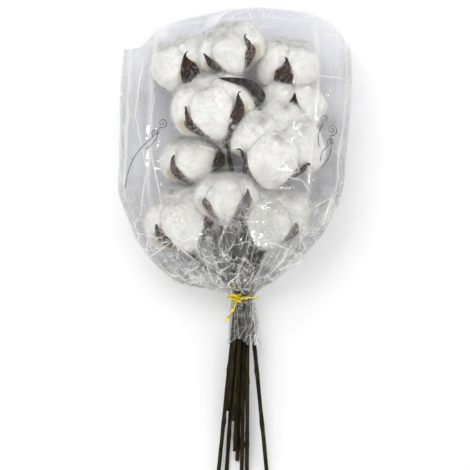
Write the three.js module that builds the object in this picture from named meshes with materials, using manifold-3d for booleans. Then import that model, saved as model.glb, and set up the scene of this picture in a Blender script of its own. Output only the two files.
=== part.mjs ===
// A bunch of ten dried cotton stems in a clear film sleeve, lying on its back on a flat surface.
// Millimetres, +Z up, bolls towards +Y, cut stem ends towards -Y, origin under the middle of the bunch.
// Each stem carries one open boll: a woody bur of four pointed valves, and four locks of lint between them.
import * as THREE from "three";
import { mergeVertices } from "three/addons/utils/BufferGeometryUtils.js";
import Module from "manifold-3d";

const wasm = await Module();
wasm.setup();

// ---- Driving dimensions ----

const GAP = 0.35; // kept between pieces that press on each other

// An open boll of size 1, measured from the foot of its bur along its axis.
const LOCKS_PER_BOLL = 4;
const LOCK = {
  reach: 12, // from the boll's axis to the middle of a lock
  height: 19,
  radial: 14,
  side: 15.5,
  along: 18.5,
  segments: [7, 5],
};
const WEDGE_REACH = 60; // larger than any lock
const VALVE_ANGLES = Array.from({ length: LOCKS_PER_BOLL }, (_, k) => (k * 2 * Math.PI) / LOCKS_PER_BOLL);
const VALVE_THICKNESS = 1.5;
// Down the middle of a valve, from the foot to the curled beak: distance from the axis, height, half width.
const VALVE_LINE = [
  [3, 1.4, 2.6],
  [13, 4.6, 7.2],
  [21, 12, 8.4],
  [25.2, 22, 5.2],
  [29.8, 31, 1],
];
const CUP_PROFILE = [
  [0, -4],
  [2.6, -4],
  [4.6, -1.5],
  [6, 2],
  [5, 4.2],
  [0, 4.2],
];
const CUP_SIDES = 8;

const STEM_RADIUS = 1.8;
const STEM_SIDES = 6;
const STEM_STEPS = 13;
const NECK = { x: 6, y: -49, z: 26 }; // where the sleeve is tied round the stems
const SLOT_PITCH = { across: 3.9, up: 4.0 };
const STEM_CLEARANCE = 4.8; // least distance between two stems' middle lines
const STRAIGHT_AT_NECK = 9; // how far above the tie a stem has bent in line with the others
const STEM_STARTS = [1, -9, -38]; // along a boll's axis: inside the cup, just under it, where the stem bends
const ROUTE_POINTS = 9;
const ROUTE_ROUNDS = 200;
const FLOOR_CLEARANCE = 4.5;
const BUR_CORE = { height: 16, radius: 20 }; // the middle of a bur, which other stems go round

// Each boll: the middle of its lint, the way its open face points, its turn about that axis, its size,
// the place of its stem in the tied bundle, and its cut end.
const BOLLS = [
  {
    name: "upper_middle",
    centre: [-19, 110, 62],
    facing: [-0.3, 0.86, 0.4],
    turn: 38,
    size: 1.2,
    slot: [-1, 1],
    end: [-7, -147, 17],
  },
  {
    name: "centre_right",
    centre: [35, 79, 65],
    facing: [0.1, 0.62, 0.78],
    turn: 40,
    size: 1.34,
    slot: [1.5, 0],
    end: [27, -204, 7],
  },
  {
    name: "lower_middle",
    centre: [-7, 34, 72],
    facing: [0, 0.95, 0.2],
    turn: 38,
    size: 0.94,
    slot: [0, 1],
    end: [-2.5, -156, 16],
  },
  {
    name: "lower_right",
    centre: [29, 20, 60],
    facing: [0.1, 0.75, 0.65],
    turn: 42,
    size: 1.14,
    slot: [1, 1],
    end: [9.5, -196, 10],
  },
  {
    name: "top",
    centre: [-4, 160, 57],
    facing: [-0.34, 0.84, 0.42],
    turn: -52,
    size: 0.98,
    slot: [-0.5, 0],
    end: [-1, -183, 9],
  },
  {
    name: "top_right",
    centre: [43, 148, 35],
    facing: [0.14, 0.95, 0.3],
    turn: -3,
    size: 1.06,
    slot: [0.5, 0],
    end: [4.8, -204, 6.3],
  },
  {
    name: "right",
    centre: [47, 115, 33],
    facing: [0.16, 0.95, 0.22],
    turn: 2,
    size: 1.1,
    slot: [1, -1],
    end: [9.6, -203, 2.4],
  },
  {
    name: "lower_left",
    centre: [-46, 15, 45],
    facing: [-0.25, 0.88, 0.4],
    turn: 48,
    size: 1.16,
    slot: [-1.5, 0],
    end: [-15.5, -204, 6.5],
  },
  {
    name: "left",
    centre: [-33, 69, 34],
    facing: [-0.25, 0.9, 0.35],
    turn: 42,
    size: 1.08,
    slot: [-1, -1],
    end: [-8.5, -204, 2.4],
  },
  {
    name: "top_left",
    centre: [-45, 148, 33],
    facing: [-0.36, 0.9, 0.22],
    turn: 8,
    size: 1.08,
    slot: [0, -1],
    end: [1, -192, 2.4],
  },
];

// The sleeve is a loose tube of film, flat underneath where it lies, tied at the neck and cut lower in front.
const FILM = 1;
const LINT_OVERHANG = 40; // more than any lint would reach past the film
const SLEEVE_COLUMNS = 28;
// Along the sleeve: y, left edge, right edge, lowest z, highest z.
const SLEEVE_STATIONS = [
  [-90, -7, 21.5, 4, 34],
  [-70, -6, 20, 8, 37],
  [-52, -4.6, 16.6, 16.2, 35.8],
  [-46.5, -4.6, 16.6, 16.2, 35.8],
  [-43, -26, 22, 12, 42],
  [-36, -51, 32, 4, 60],
  [-15, -74, 56, -3, 87],
  [7, -87, 75, -7, 102],
  [40, -99, 90, -8, 108],
  [80, -98, 94, -8, 110],
  [120, -98, 98, -8, 108],
  [160, -95, 98, -7, 100],
  [205, -88, 95, -5, 80],
];
const FIXED_RINGS = 9; // stations that lie square across the sleeve; those above them slope towards the mouth
const MOUTH_RINGS = 7;
const SLEEVE_SQUARENESS = 0.8; // 1 is an ellipse, and less is squarer
const MOUTH = {
  side: 163,
  backRise: 41,
  frontRise: 23,
  leftCorner: 0.85, // the smaller a corner's power is, the squarer it turns
  rightCorner: 0.45,
  frontCorner: 0.5,
};

const TIE = {
  radius: 0.9,
  sides: 5,
  tailSteps: 6,
  clearance: 1.4, // between the wire and the gathered film
  knot: [-7, 0.5], // from the middle of the neck's top: across and up
  knotRadius: 2,
};
// The tie's tails, from the knot: the long one hangs towards the cut ends, the short one stands up.
const TIE_TAILS = [
  [[-0.5, -5, 2.2], [-2.5, -10, 2.4], [-5, -18, 1.5]],
  [[-1.5, 2.5, 5], [-2.5, 4.5, 8], [-1, 7, 10]],
];

// ---- Helpers ----

const rad = THREE.MathUtils.degToRad;

/** A closed three.js geometry as a solid that can be joined and cut. */
function solidOf(geometry, matrix = new THREE.Matrix4()) {
  const bare = geometry.index ? geometry.toNonIndexed() : geometry.clone();
  const welded = mergeVertices(
    new THREE.BufferGeometry().setAttribute("position", bare.getAttribute("position")).applyMatrix4(matrix),
    1e-3,
  );
  return new wasm.Manifold(
    new wasm.Mesh({
      numProp: 3,
      vertProperties: welded.attributes.position.array,
      triVerts: new Uint32Array(welded.index.array),
    }),
  );
}

/** A solid as a named mesh in its material. */
function meshOf(solid, name, material) {
  const { vertProperties, triVerts, numProp, numVert } = solid.getMesh();
  const points = new Float32Array(numVert * 3);
  for (let i = 0; i < numVert; i++) points.set(vertProperties.subarray(i * numProp, i * numProp + 3), i * 3);
  const geometry = new THREE.BufferGeometry()
    .setAttribute("position", new THREE.BufferAttribute(points, 3))
    .setIndex(new THREE.BufferAttribute(triVerts, 1));
  geometry.computeVertexNormals();
  const mesh = new THREE.Mesh(geometry, material);
  mesh.name = name;
  return mesh;
}

/** A skin over rings of points, all with the same count, closed by a flat fan at each end. */
function loft(rings) {
  const count = rings[0].length;
  const points = rings.flat();
  const faces = [];
  rings.slice(1).forEach((_, i) => {
    for (let j = 0; j < count; j++) {
      const k = (j + 1) % count;
      const [a, b, c, d] = [i * count + j, i * count + k, (i + 1) * count + k, (i + 1) * count + j];
      faces.push(a, b, c, a, c, d);
    }
  });
  const last = (rings.length - 1) * count;
  for (let j = 1; j < count - 1; j++) faces.push(0, j + 1, j, last, last + j, last + j + 1);
  return new THREE.BufferGeometry().setFromPoints(points).setIndex(faces);
}

/** A round tube along a curve, with closed ends. */
function tube(curve, radius, sides, steps) {
  const section = new THREE.Shape(new THREE.EllipseCurve(0, 0, radius, radius).getPoints(sides).slice(0, -1));
  return new THREE.ExtrudeGeometry(section, { extrudePath: curve, steps, bevelEnabled: false });
}

const touches = (a, b) => {
  const [p, q] = [a.boundingBox(), b.boundingBox()];
  return [0, 1, 2].every((k) => p.min[k] < q.max[k] && q.min[k] < p.max[k]);
};

/** A solid with others cut out of it; only the largest piece that is left is kept. */
function cutBy(solid, others) {
  const near = others.filter((other) => touches(solid, other));
  if (!near.length) return solid;
  const left = solid.subtract(wasm.Manifold.union(near)).decompose();
  return left.reduce((best, piece) => (piece.volume() > best.volume() ? piece : best));
}

/** Values along a list of [at, ...values] rows, smoothly joined. */
function along(rows, at) {
  const i = THREE.MathUtils.clamp(rows.filter((row) => row[0] <= at).length - 1, 0, rows.length - 2);
  const t = THREE.MathUtils.clamp((at - rows[i][0]) / (rows[i + 1][0] - rows[i][0]), 0, 1);
  return rows[i].slice(1).map((value, k) => THREE.MathUtils.lerp(value, rows[i + 1][k + 1], t));
}

// ---- The bolls ----

/** The place of a boll's own frame: its foot at the origin, its axis along +Z, a valve at its +X side. */
function bollFrame({ centre, facing, turn, size }) {
  const axis = new THREE.Vector3(...facing).normalize();
  const foot = new THREE.Vector3(...centre).addScaledVector(axis, -LOCK.height * size);
  const up = new THREE.Vector3(0, 0, 1).addScaledVector(axis, -axis.z).normalize();
  const basis = new THREE.Matrix4().makeBasis(up, new THREE.Vector3().crossVectors(axis, up), axis);
  return new THREE.Matrix4()
    .makeTranslation(foot)
    .multiply(basis)
    .multiply(new THREE.Matrix4().makeRotationZ(rad(turn)))
    .multiply(new THREE.Matrix4().makeScale(size, size, size));
}

/** One valve: a tapering blade that follows VALVE_LINE, with its beak curling out. */
function valve(grow) {
  const rings = VALVE_LINE.map(([r, h, half], i) => {
    const before = VALVE_LINE[Math.max(0, i - 1)];
    const after = VALVE_LINE[Math.min(VALVE_LINE.length - 1, i + 1)];
    const run = new THREE.Vector2(after[0] - before[0], after[1] - before[1]).normalize();
    const thick = VALVE_THICKNESS / 2 + grow;
    const [w, out] = [half + grow, new THREE.Vector2(run.y, -run.x).multiplyScalar(thick)];
    return [
      new THREE.Vector3(r + out.x, -w, h + out.y),
      new THREE.Vector3(r + out.x, w, h + out.y),
      new THREE.Vector3(r - out.x, w, h - out.y),
      new THREE.Vector3(r - out.x, -w, h - out.y),
    ];
  });
  return loft(rings);
}

/** The neck place of a boll's stem, from its slot in the tied bundle. */
const neckPoint = ([across, up]) =>
  new THREE.Vector3(NECK.x + across * SLOT_PITCH.across, NECK.y, NECK.z + up * SLOT_PITCH.up);

/** Balls that fill a bur: its core, and one at each place along each valve. */
function burBodies(boll) {
  const frame = bollFrame(boll);
  const ball = (r, h, angle, radius) => ({
    at: new THREE.Vector3(r * Math.cos(angle), r * Math.sin(angle), h).applyMatrix4(frame),
    radius: radius * boll.size,
  });
  const valves = VALVE_ANGLES.flatMap((angle) =>
    VALVE_LINE.map(([r, h, half]) => ball(r, h, angle, half + VALVE_THICKNESS)),
  );
  return [ball(0, BUR_CORE.height, 0, BUR_CORE.radius), ...valves];
}

/** The middle lines of all stems, from inside the bur to the cut end, bent aside where two would touch. */
function stemLines() {
  const bodies = BOLLS.map(burBodies);
  const lines = BOLLS.map((boll) => {
    const frame = bollFrame(boll);
    const [start, under, bend] = STEM_STARTS.map((h) => new THREE.Vector3(0, 0, h).applyMatrix4(frame));
    const neck = neckPoint(boll.slot);
    const above = neck.clone().add(new THREE.Vector3(0, STRAIGHT_AT_NECK, 0));
    const end = new THREE.Vector3(...boll.end);
    const upper = new THREE.CubicBezierCurve3(under, bend, above.clone().lerp(bend, 0.3), above);
    const points = [start, ...upper.getPoints(ROUTE_POINTS), neck, neck.clone().lerp(end, 0.5), end];
    return points.map((at, k) => ({ at, fixed: k < 2 || k > ROUTE_POINTS }));
  });
  for (let round = 0; round < ROUTE_ROUNDS; round++) {
    const smoothing = 0.3 * (1 - round / ROUTE_ROUNDS);
    lines.forEach((line, i) => line.forEach((point, k) => {
      if (point.fixed) return;
      const push = new THREE.Vector3();
      lines.forEach((other, j) => {
        if (i === j) return;
        other.slice(1).forEach((to, n) => {
          const stretch = new THREE.Line3(other[n].at, to.at);
          const near = stretch.closestPointToPoint(point.at, true, new THREE.Vector3());
          const away = point.at.clone().sub(near);
          const short = STEM_CLEARANCE - away.length();
          if (short > 0) push.addScaledVector(away.normalize(), short);
        });
        bodies[j].forEach((body) => {
          const away = point.at.clone().sub(body.at);
          const short = body.radius + STEM_CLEARANCE / 2 - away.length();
          if (short > 0) push.addScaledVector(away.normalize(), short);
        });
      });
      const middle = line[k - 1].at.clone().add(line[k + 1].at).multiplyScalar(0.5).sub(point.at);
      point.at.addScaledVector(push, 0.5).addScaledVector(middle, smoothing);
      point.at.z = Math.max(point.at.z, FLOOR_CLEARANCE);
    }));
  }
  return lines.map((line) => new THREE.CatmullRomCurve3(line.map(({ at }) => at), false, "centripetal"));
}

/** A bur and its stem, which grow as one piece: a cup, its valves and the stem under it. */
function burAndStem(boll, line, grow = 0) {
  const frame = bollFrame(boll);
  const local = grow / boll.size;
  const cup = new THREE.LatheGeometry(
    CUP_PROFILE.map(([r, h]) => new THREE.Vector2(r && r + local, h)),
    CUP_SIDES,
  );
  const upright = new THREE.Matrix4().makeRotationX(rad(90));
  const pieces = [solidOf(cup, frame.clone().multiply(upright))];
  for (const angle of VALVE_ANGLES)
    pieces.push(solidOf(valve(local), frame.clone().multiply(new THREE.Matrix4().makeRotationZ(angle))));
  pieces.push(solidOf(tube(line, STEM_RADIUS + grow, STEM_SIDES, STEM_STEPS)));
  return wasm.Manifold.union(pieces);
}

/** One lock of lint: an egg that keeps to its own quarter of the boll. */
function lock(boll, index, grow = 0) {
  const frame = bollFrame(boll);
  const angle = ((index + 0.5) * 2 * Math.PI) / LOCKS_PER_BOLL;
  const local = grow / boll.size;
  const egg = new THREE.SphereGeometry(1, ...LOCK.segments);
  const place = new THREE.Matrix4()
    .makeRotationZ(angle)
    .multiply(new THREE.Matrix4().makeTranslation(LOCK.reach, 0, LOCK.height))
    .multiply(new THREE.Matrix4().makeScale(LOCK.radial + local, LOCK.side + local, LOCK.along + local))
    .multiply(new THREE.Matrix4().makeRotationX(rad(90)));
  const solid = solidOf(egg, frame.clone().multiply(place));
  if (grow) return solid;
  const quarter = new THREE.Shape([
    new THREE.Vector2(GAP, 0),
    new THREE.Vector2(GAP + WEDGE_REACH, -WEDGE_REACH),
    new THREE.Vector2(GAP + WEDGE_REACH, WEDGE_REACH),
  ]);
  const wedge = new THREE.ExtrudeGeometry(quarter, { depth: 2 * WEDGE_REACH, bevelEnabled: false });
  const down = new THREE.Matrix4().makeTranslation(0, 0, -WEDGE_REACH);
  const turned = new THREE.Matrix4().makeRotationZ(angle).multiply(down);
  return solid.intersect(solidOf(wedge, frame.clone().multiply(turned)));
}

// ---- The sleeve ----

/** A sine or cosine, moved so that a circle drawn with it grows squarer. */
const squared = (v) => Math.sign(v) * Math.abs(v) ** SLEEVE_SQUARENESS;

/** The height along the sleeve at which the film ends, round its mouth. */
function mouthY(angle) {
  const s = Math.sin(angle);
  const corner = Math.cos(angle) > 0 ? MOUTH.rightCorner : MOUTH.leftCorner;
  if (s < 0) return MOUTH.side + MOUTH.backRise * (-s) ** corner;
  return MOUTH.side + MOUTH.frontRise * s ** MOUTH.frontCorner;
}

/** A point of the film on one of its rings; inset moves it in from the outer face. */
function filmPoint(ring, angle, inset) {
  const square = SLEEVE_STATIONS[Math.min(ring, FIXED_RINGS - 1)][0];
  const y = THREE.MathUtils.lerp(square, mouthY(angle), Math.max(0, ring - FIXED_RINGS + 1) / MOUTH_RINGS);
  const [left, right, low, high] = along(SLEEVE_STATIONS, y);
  const x = (left + right) / 2 + ((right - left) / 2 - inset) * squared(Math.cos(angle));
  const z = (low + high) / 2 + ((high - low) / 2 - inset) * squared(Math.sin(angle));
  return new THREE.Vector3(x, y, Math.max(z, inset));
}

/** The film between two insets from its outer face, as an open tube. */
function sleeve(outer, inner) {
  const faces = [];
  const points = [];
  const rings = FIXED_RINGS - 1 + MOUTH_RINGS;
  for (const inset of [outer, inner])
    for (let i = 0; i <= rings; i++)
      for (let j = 0; j < SLEEVE_COLUMNS; j++)
        points.push(filmPoint(i, (j / SLEEVE_COLUMNS) * 2 * Math.PI, inset));
  const layer = (rings + 1) * SLEEVE_COLUMNS;
  const quad = (a, b, c, d) => faces.push(a, b, c, a, c, d);
  for (let j = 0; j < SLEEVE_COLUMNS; j++) {
    const k = (j + 1) % SLEEVE_COLUMNS;
    for (let i = 0; i < rings; i++) {
      const [a, b] = [i * SLEEVE_COLUMNS, (i + 1) * SLEEVE_COLUMNS];
      quad(a + k, a + j, b + j, b + k);
      quad(layer + a + j, layer + a + k, layer + b + k, layer + b + j);
    }
    const top = rings * SLEEVE_COLUMNS;
    quad(j, k, layer + k, layer + j);
    quad(top + k, top + j, layer + top + j, layer + top + k);
  }
  return new THREE.BufferGeometry().setFromPoints(points).setIndex(faces);
}

/** The gold wire tie: a ring round the neck of the sleeve, a twist in front and two tails. */
function wireTie() {
  const [left, right, low, high] = along(SLEEVE_STATIONS, NECK.y);
  const [cx, cz] = [(left + right) / 2, (low + high) / 2];
  const clear = TIE.radius + TIE.clearance;
  const [a, b] = [(right - left) / 2 + clear, (high - low) / 2 + clear];
  const turns = Array.from({ length: SLEEVE_COLUMNS }, (_, i) => (i / SLEEVE_COLUMNS) * 2 * Math.PI);
  const ring = new THREE.CatmullRomCurve3(
    turns.map((t) => new THREE.Vector3(cx + a * squared(Math.cos(t)), NECK.y, cz + b * squared(Math.sin(t)))),
    true,
  );
  const knot = new THREE.Vector3(cx + TIE.knot[0], NECK.y, cz + b + TIE.knot[1]);
  const tails = TIE_TAILS.map(
    (ends) => new THREE.CatmullRomCurve3([knot, ...ends.map((end) => new THREE.Vector3(...end).add(knot))]),
  );
  const twist = new THREE.SphereGeometry(TIE.knotRadius, 6, 4);
  return wasm.Manifold.union([
    solidOf(tube(ring, TIE.radius, TIE.sides, SLEEVE_COLUMNS)),
    solidOf(twist, new THREE.Matrix4().makeTranslation(knot)),
    ...tails.map((curve) => solidOf(tube(curve, TIE.radius, TIE.sides, TIE.tailSteps))),
  ]);
}

// ---- The bunch ----

const finish = (color, roughness, extra = {}) =>
  new THREE.MeshStandardMaterial({ color, roughness, metalness: 0, ...extra });
const MATERIALS = {
  lint: finish(0xf2f0ea, 1),
  wood: finish(0x3c2a1c, 0.8),
  film: finish(0xe6e8ee, 0.1, { transparent: true, opacity: 0.3 }),
  gold: finish(0xd4a826, 0.3, { metalness: 0.9 }),
};

const bunch = new THREE.Group();
const film = solidOf(sleeve(0, FILM));
const outsideFilm = solidOf(sleeve(-LINT_OVERHANG, FILM + GAP));
bunch.add(meshOf(film, "film_sleeve", MATERIALS.film));
bunch.add(meshOf(wireTie(), "gold_wire_tie", MATERIALS.gold));

const lines = stemLines();
const keepOut = [outsideFilm, ...BOLLS.map((boll, i) => burAndStem(boll, lines[i], GAP))];
BOLLS.forEach((boll, i) => {
  bunch.add(meshOf(burAndStem(boll, lines[i]), `${boll.name}_bur_and_stem`, MATERIALS.wood));
  for (let k = 0; k < LOCKS_PER_BOLL; k++)
    bunch.add(meshOf(cutBy(lock(boll, k), keepOut), `${boll.name}_lock_${k + 1}`, MATERIALS.lint));
  for (let k = 0; k < LOCKS_PER_BOLL; k++) keepOut.push(lock(boll, k, GAP));
});

const around = new THREE.Box3().setFromObject(bunch);
const middle = around.getCenter(new THREE.Vector3());
bunch.position.set(-middle.x, -middle.y, -around.min.z);

export default bunch;
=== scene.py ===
"""Looks for a bunch of dried cotton bolls in a clear film sleeve, lying on its back on a pale floor."""
import logging
import math
from dataclasses import dataclass
from enum import Enum

import bpy
import numpy as np
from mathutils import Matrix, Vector


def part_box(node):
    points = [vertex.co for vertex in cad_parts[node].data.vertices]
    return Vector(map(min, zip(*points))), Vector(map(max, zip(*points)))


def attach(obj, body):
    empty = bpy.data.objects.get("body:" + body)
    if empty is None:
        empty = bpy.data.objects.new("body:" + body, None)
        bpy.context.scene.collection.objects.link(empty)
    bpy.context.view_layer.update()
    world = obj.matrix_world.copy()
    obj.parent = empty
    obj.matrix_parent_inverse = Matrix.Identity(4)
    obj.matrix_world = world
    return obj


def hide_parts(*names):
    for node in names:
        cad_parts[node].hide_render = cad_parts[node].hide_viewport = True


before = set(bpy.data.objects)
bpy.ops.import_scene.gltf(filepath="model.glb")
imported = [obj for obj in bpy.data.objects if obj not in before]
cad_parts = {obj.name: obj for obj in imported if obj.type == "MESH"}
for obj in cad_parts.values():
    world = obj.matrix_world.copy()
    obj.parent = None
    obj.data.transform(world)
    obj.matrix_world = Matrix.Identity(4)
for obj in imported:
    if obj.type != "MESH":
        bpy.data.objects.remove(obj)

LOG = logging.getLogger("cotton_bunch")
MM = 0.001
TURN = 2 * math.pi
Colour = tuple[float, float, float]
LOCKS = 4  # locks of lint in a boll, with a valve of the bur between each two
BOLL_NAMES = (
    "top",
    "top_left",
    "top_right",
    "upper_middle",
    "right",
    "centre_right",
    "left",
    "lower_middle",
    "lower_right",
    "lower_left",
)
# Large primes that scatter whole numbers, for the noise: one for each axis, one for the seed, and the rounds.
HASH_AXES = np.array([73856093, 19349663, 83492791])
HASH_SEED = 374761393
HASH_ROUNDS = ((13, 1274126177), (15, 668265263))
OFF_PATH = (0.13, 0.21, 1.0)  # a direction that no path starts in
FACET_RIDGES = (0.045, 0.035)  # half widths of the lines across and between cells, in cells
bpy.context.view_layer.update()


# ---- Arrays: noise, smooth curves and closed surfaces ----


def unit(vectors: np.ndarray) -> np.ndarray:
    """Vectors divided by their lengths, along the last axis."""
    return vectors / np.maximum(np.linalg.norm(vectors, axis=-1, keepdims=True), 1e-12)


def angles(count: int) -> np.ndarray:
    """Angles evenly round a turn, as one row."""
    return np.linspace(0, TURN, count, endpoint=False)[None, :]


def squared(wave: np.ndarray, power: float) -> np.ndarray:
    """A cosine or sine raised to a power with its sign kept, which turns a circle into a soft square."""
    return np.sign(wave) * np.abs(wave) ** power


def lattice_noise(points: np.ndarray, seed: int) -> np.ndarray:
    """Smooth noise from -1 to 1: a number is hashed at each whole-number corner and blended between them.

    Args:
        points: places in any units, shape (..., 3); the noise changes over about one unit.
        seed: chooses another pattern.

    Returns:
        One number for each point.
    """
    low = np.floor(points).astype(np.int64)
    share = points - low
    share = share * share * (3 - 2 * share)
    total = np.zeros(points.shape[:-1])
    for corner in np.ndindex(2, 2, 2):
        cell = low + np.array(corner)
        mixed = np.bitwise_xor.reduce(cell * HASH_AXES, axis=-1) ^ (seed * HASH_SEED)
        for shift, factor in HASH_ROUNDS:
            mixed = (mixed ^ (mixed >> shift)) * factor & 0x7FFFFFFF
        value = ((mixed >> 7) & 0xFFFF) / 32767.5 - 1
        weight = np.where(np.array(corner), share, 1 - share).prod(axis=-1)
        total += value * weight
    return total


def layered_noise(points: np.ndarray, seed: int, layers: int = 3) -> np.ndarray:
    """Noise summed over layers, each twice as fine and half as strong as the one before."""
    return sum(lattice_noise(points * 2**i, seed + i) / 2**i for i in range(layers))


def facets(flat: np.ndarray, seed: int) -> tuple[np.ndarray, np.ndarray]:
    """A crumpled sheet of flat facets: a net of triangles with a height at each corner.

    Args:
        flat: places on the flat sheet, shape (..., 2), in units of a facet's size.
        seed: chooses another pattern.

    Returns:
        The height from -1 to 1, and a thin ridge line, from 0 to 1, where two facets meet.
    """
    low = np.floor(flat)
    x, y = (flat - low)[..., 0], (flat - low)[..., 1]

    def corner(across: int, along: int) -> np.ndarray:
        """The height at one corner of a cell."""
        place = np.stack([low[..., 0] + across, low[..., 1] + along, np.full(x.shape, 3.0)], axis=-1)
        return lattice_noise(place, seed)

    first, last = corner(0, 0), corner(1, 1)
    right, left = corner(1, 0), corner(0, 1)
    below = first + (right - first) * x + (last - right) * y
    above = first + (left - first) * y + (last - left) * x
    height = np.where(x > y, below, above)
    bent = np.abs(first + last - right - left) / 2
    diagonal = np.exp(-((np.abs(x - y) / FACET_RIDGES[0]) ** 2)) * bent
    to_rim = np.minimum(np.minimum(x, 1 - x), np.minimum(y, 1 - y))
    rim = np.exp(-((to_rim / FACET_RIDGES[1]) ** 2)) * np.abs(right + left) / 2
    return height, np.clip(np.maximum(diagonal, rim) * 1.6, 0, 1)


def smooth_steps(low: float, high: float, value: np.ndarray) -> np.ndarray:
    """0 below low, 1 above high, and a smooth rise between them."""
    share = np.clip((value - low) / (high - low), 0, 1)
    return share * share * (3 - 2 * share)


def curve_through(rows: np.ndarray, at: np.ndarray) -> np.ndarray:
    """A smooth curve through rows, with a cubic for each span.

    The slope at a row is half the difference of its neighbours.

    Args:
        rows: the points to pass through, shape (n, k).
        at: where to read the curve, from 0 at the first row to 1 at the last.

    Returns:
        The curve's points, with the shape of at and k values each.
    """
    rows = np.asarray(rows, float)
    ends = np.vstack([2 * rows[0] - rows[1], rows, 2 * rows[-1] - rows[-2]])
    place = np.clip(at, 0, 1) * (len(rows) - 1)
    span = np.minimum(place.astype(int), len(rows) - 2)
    t = (place - span)[..., None]
    a, b, c, d = (ends[span + k] for k in range(4))
    return 0.5 * (2 * b + (c - a) * t + (2 * a - 5 * b + 4 * c - d) * t**2 + (3 * b - a - 3 * c + d) * t**3)


def evenly(rows: np.ndarray, count: int) -> np.ndarray:
    """Points evenly spaced by length along the smooth curve through rows.

    Args:
        rows: the points to pass through, shape (n, k).
        count: how many points to make.

    Returns:
        The points, shape (count, k).
    """
    fine = curve_through(rows, np.linspace(0, 1, 40 * len(rows)))
    run = np.concatenate([[0], np.cumsum(np.linalg.norm(np.diff(fine, axis=0), axis=1))])
    wanted = np.linspace(0, run[-1], count)
    return np.stack([np.interp(wanted, run, fine[:, k]) for k in range(fine.shape[1])], axis=1)


def carried_axes(path: np.ndarray) -> tuple[np.ndarray, np.ndarray, np.ndarray]:
    """Axes along a path that turn as little as they can: forward, side and up at each point.

    Args:
        path: the points, shape (n, 3).

    Returns:
        Three arrays of unit vectors, with the shape of the path.
    """
    forward = unit(np.gradient(path, axis=0))
    side = np.empty_like(path)
    side[0] = unit(np.cross(forward[0], OFF_PATH))
    for i in range(1, len(path)):
        side[i] = unit(side[i - 1] - forward[i] * (side[i - 1] @ forward[i]))
    return forward, side, np.cross(forward, side)


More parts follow.
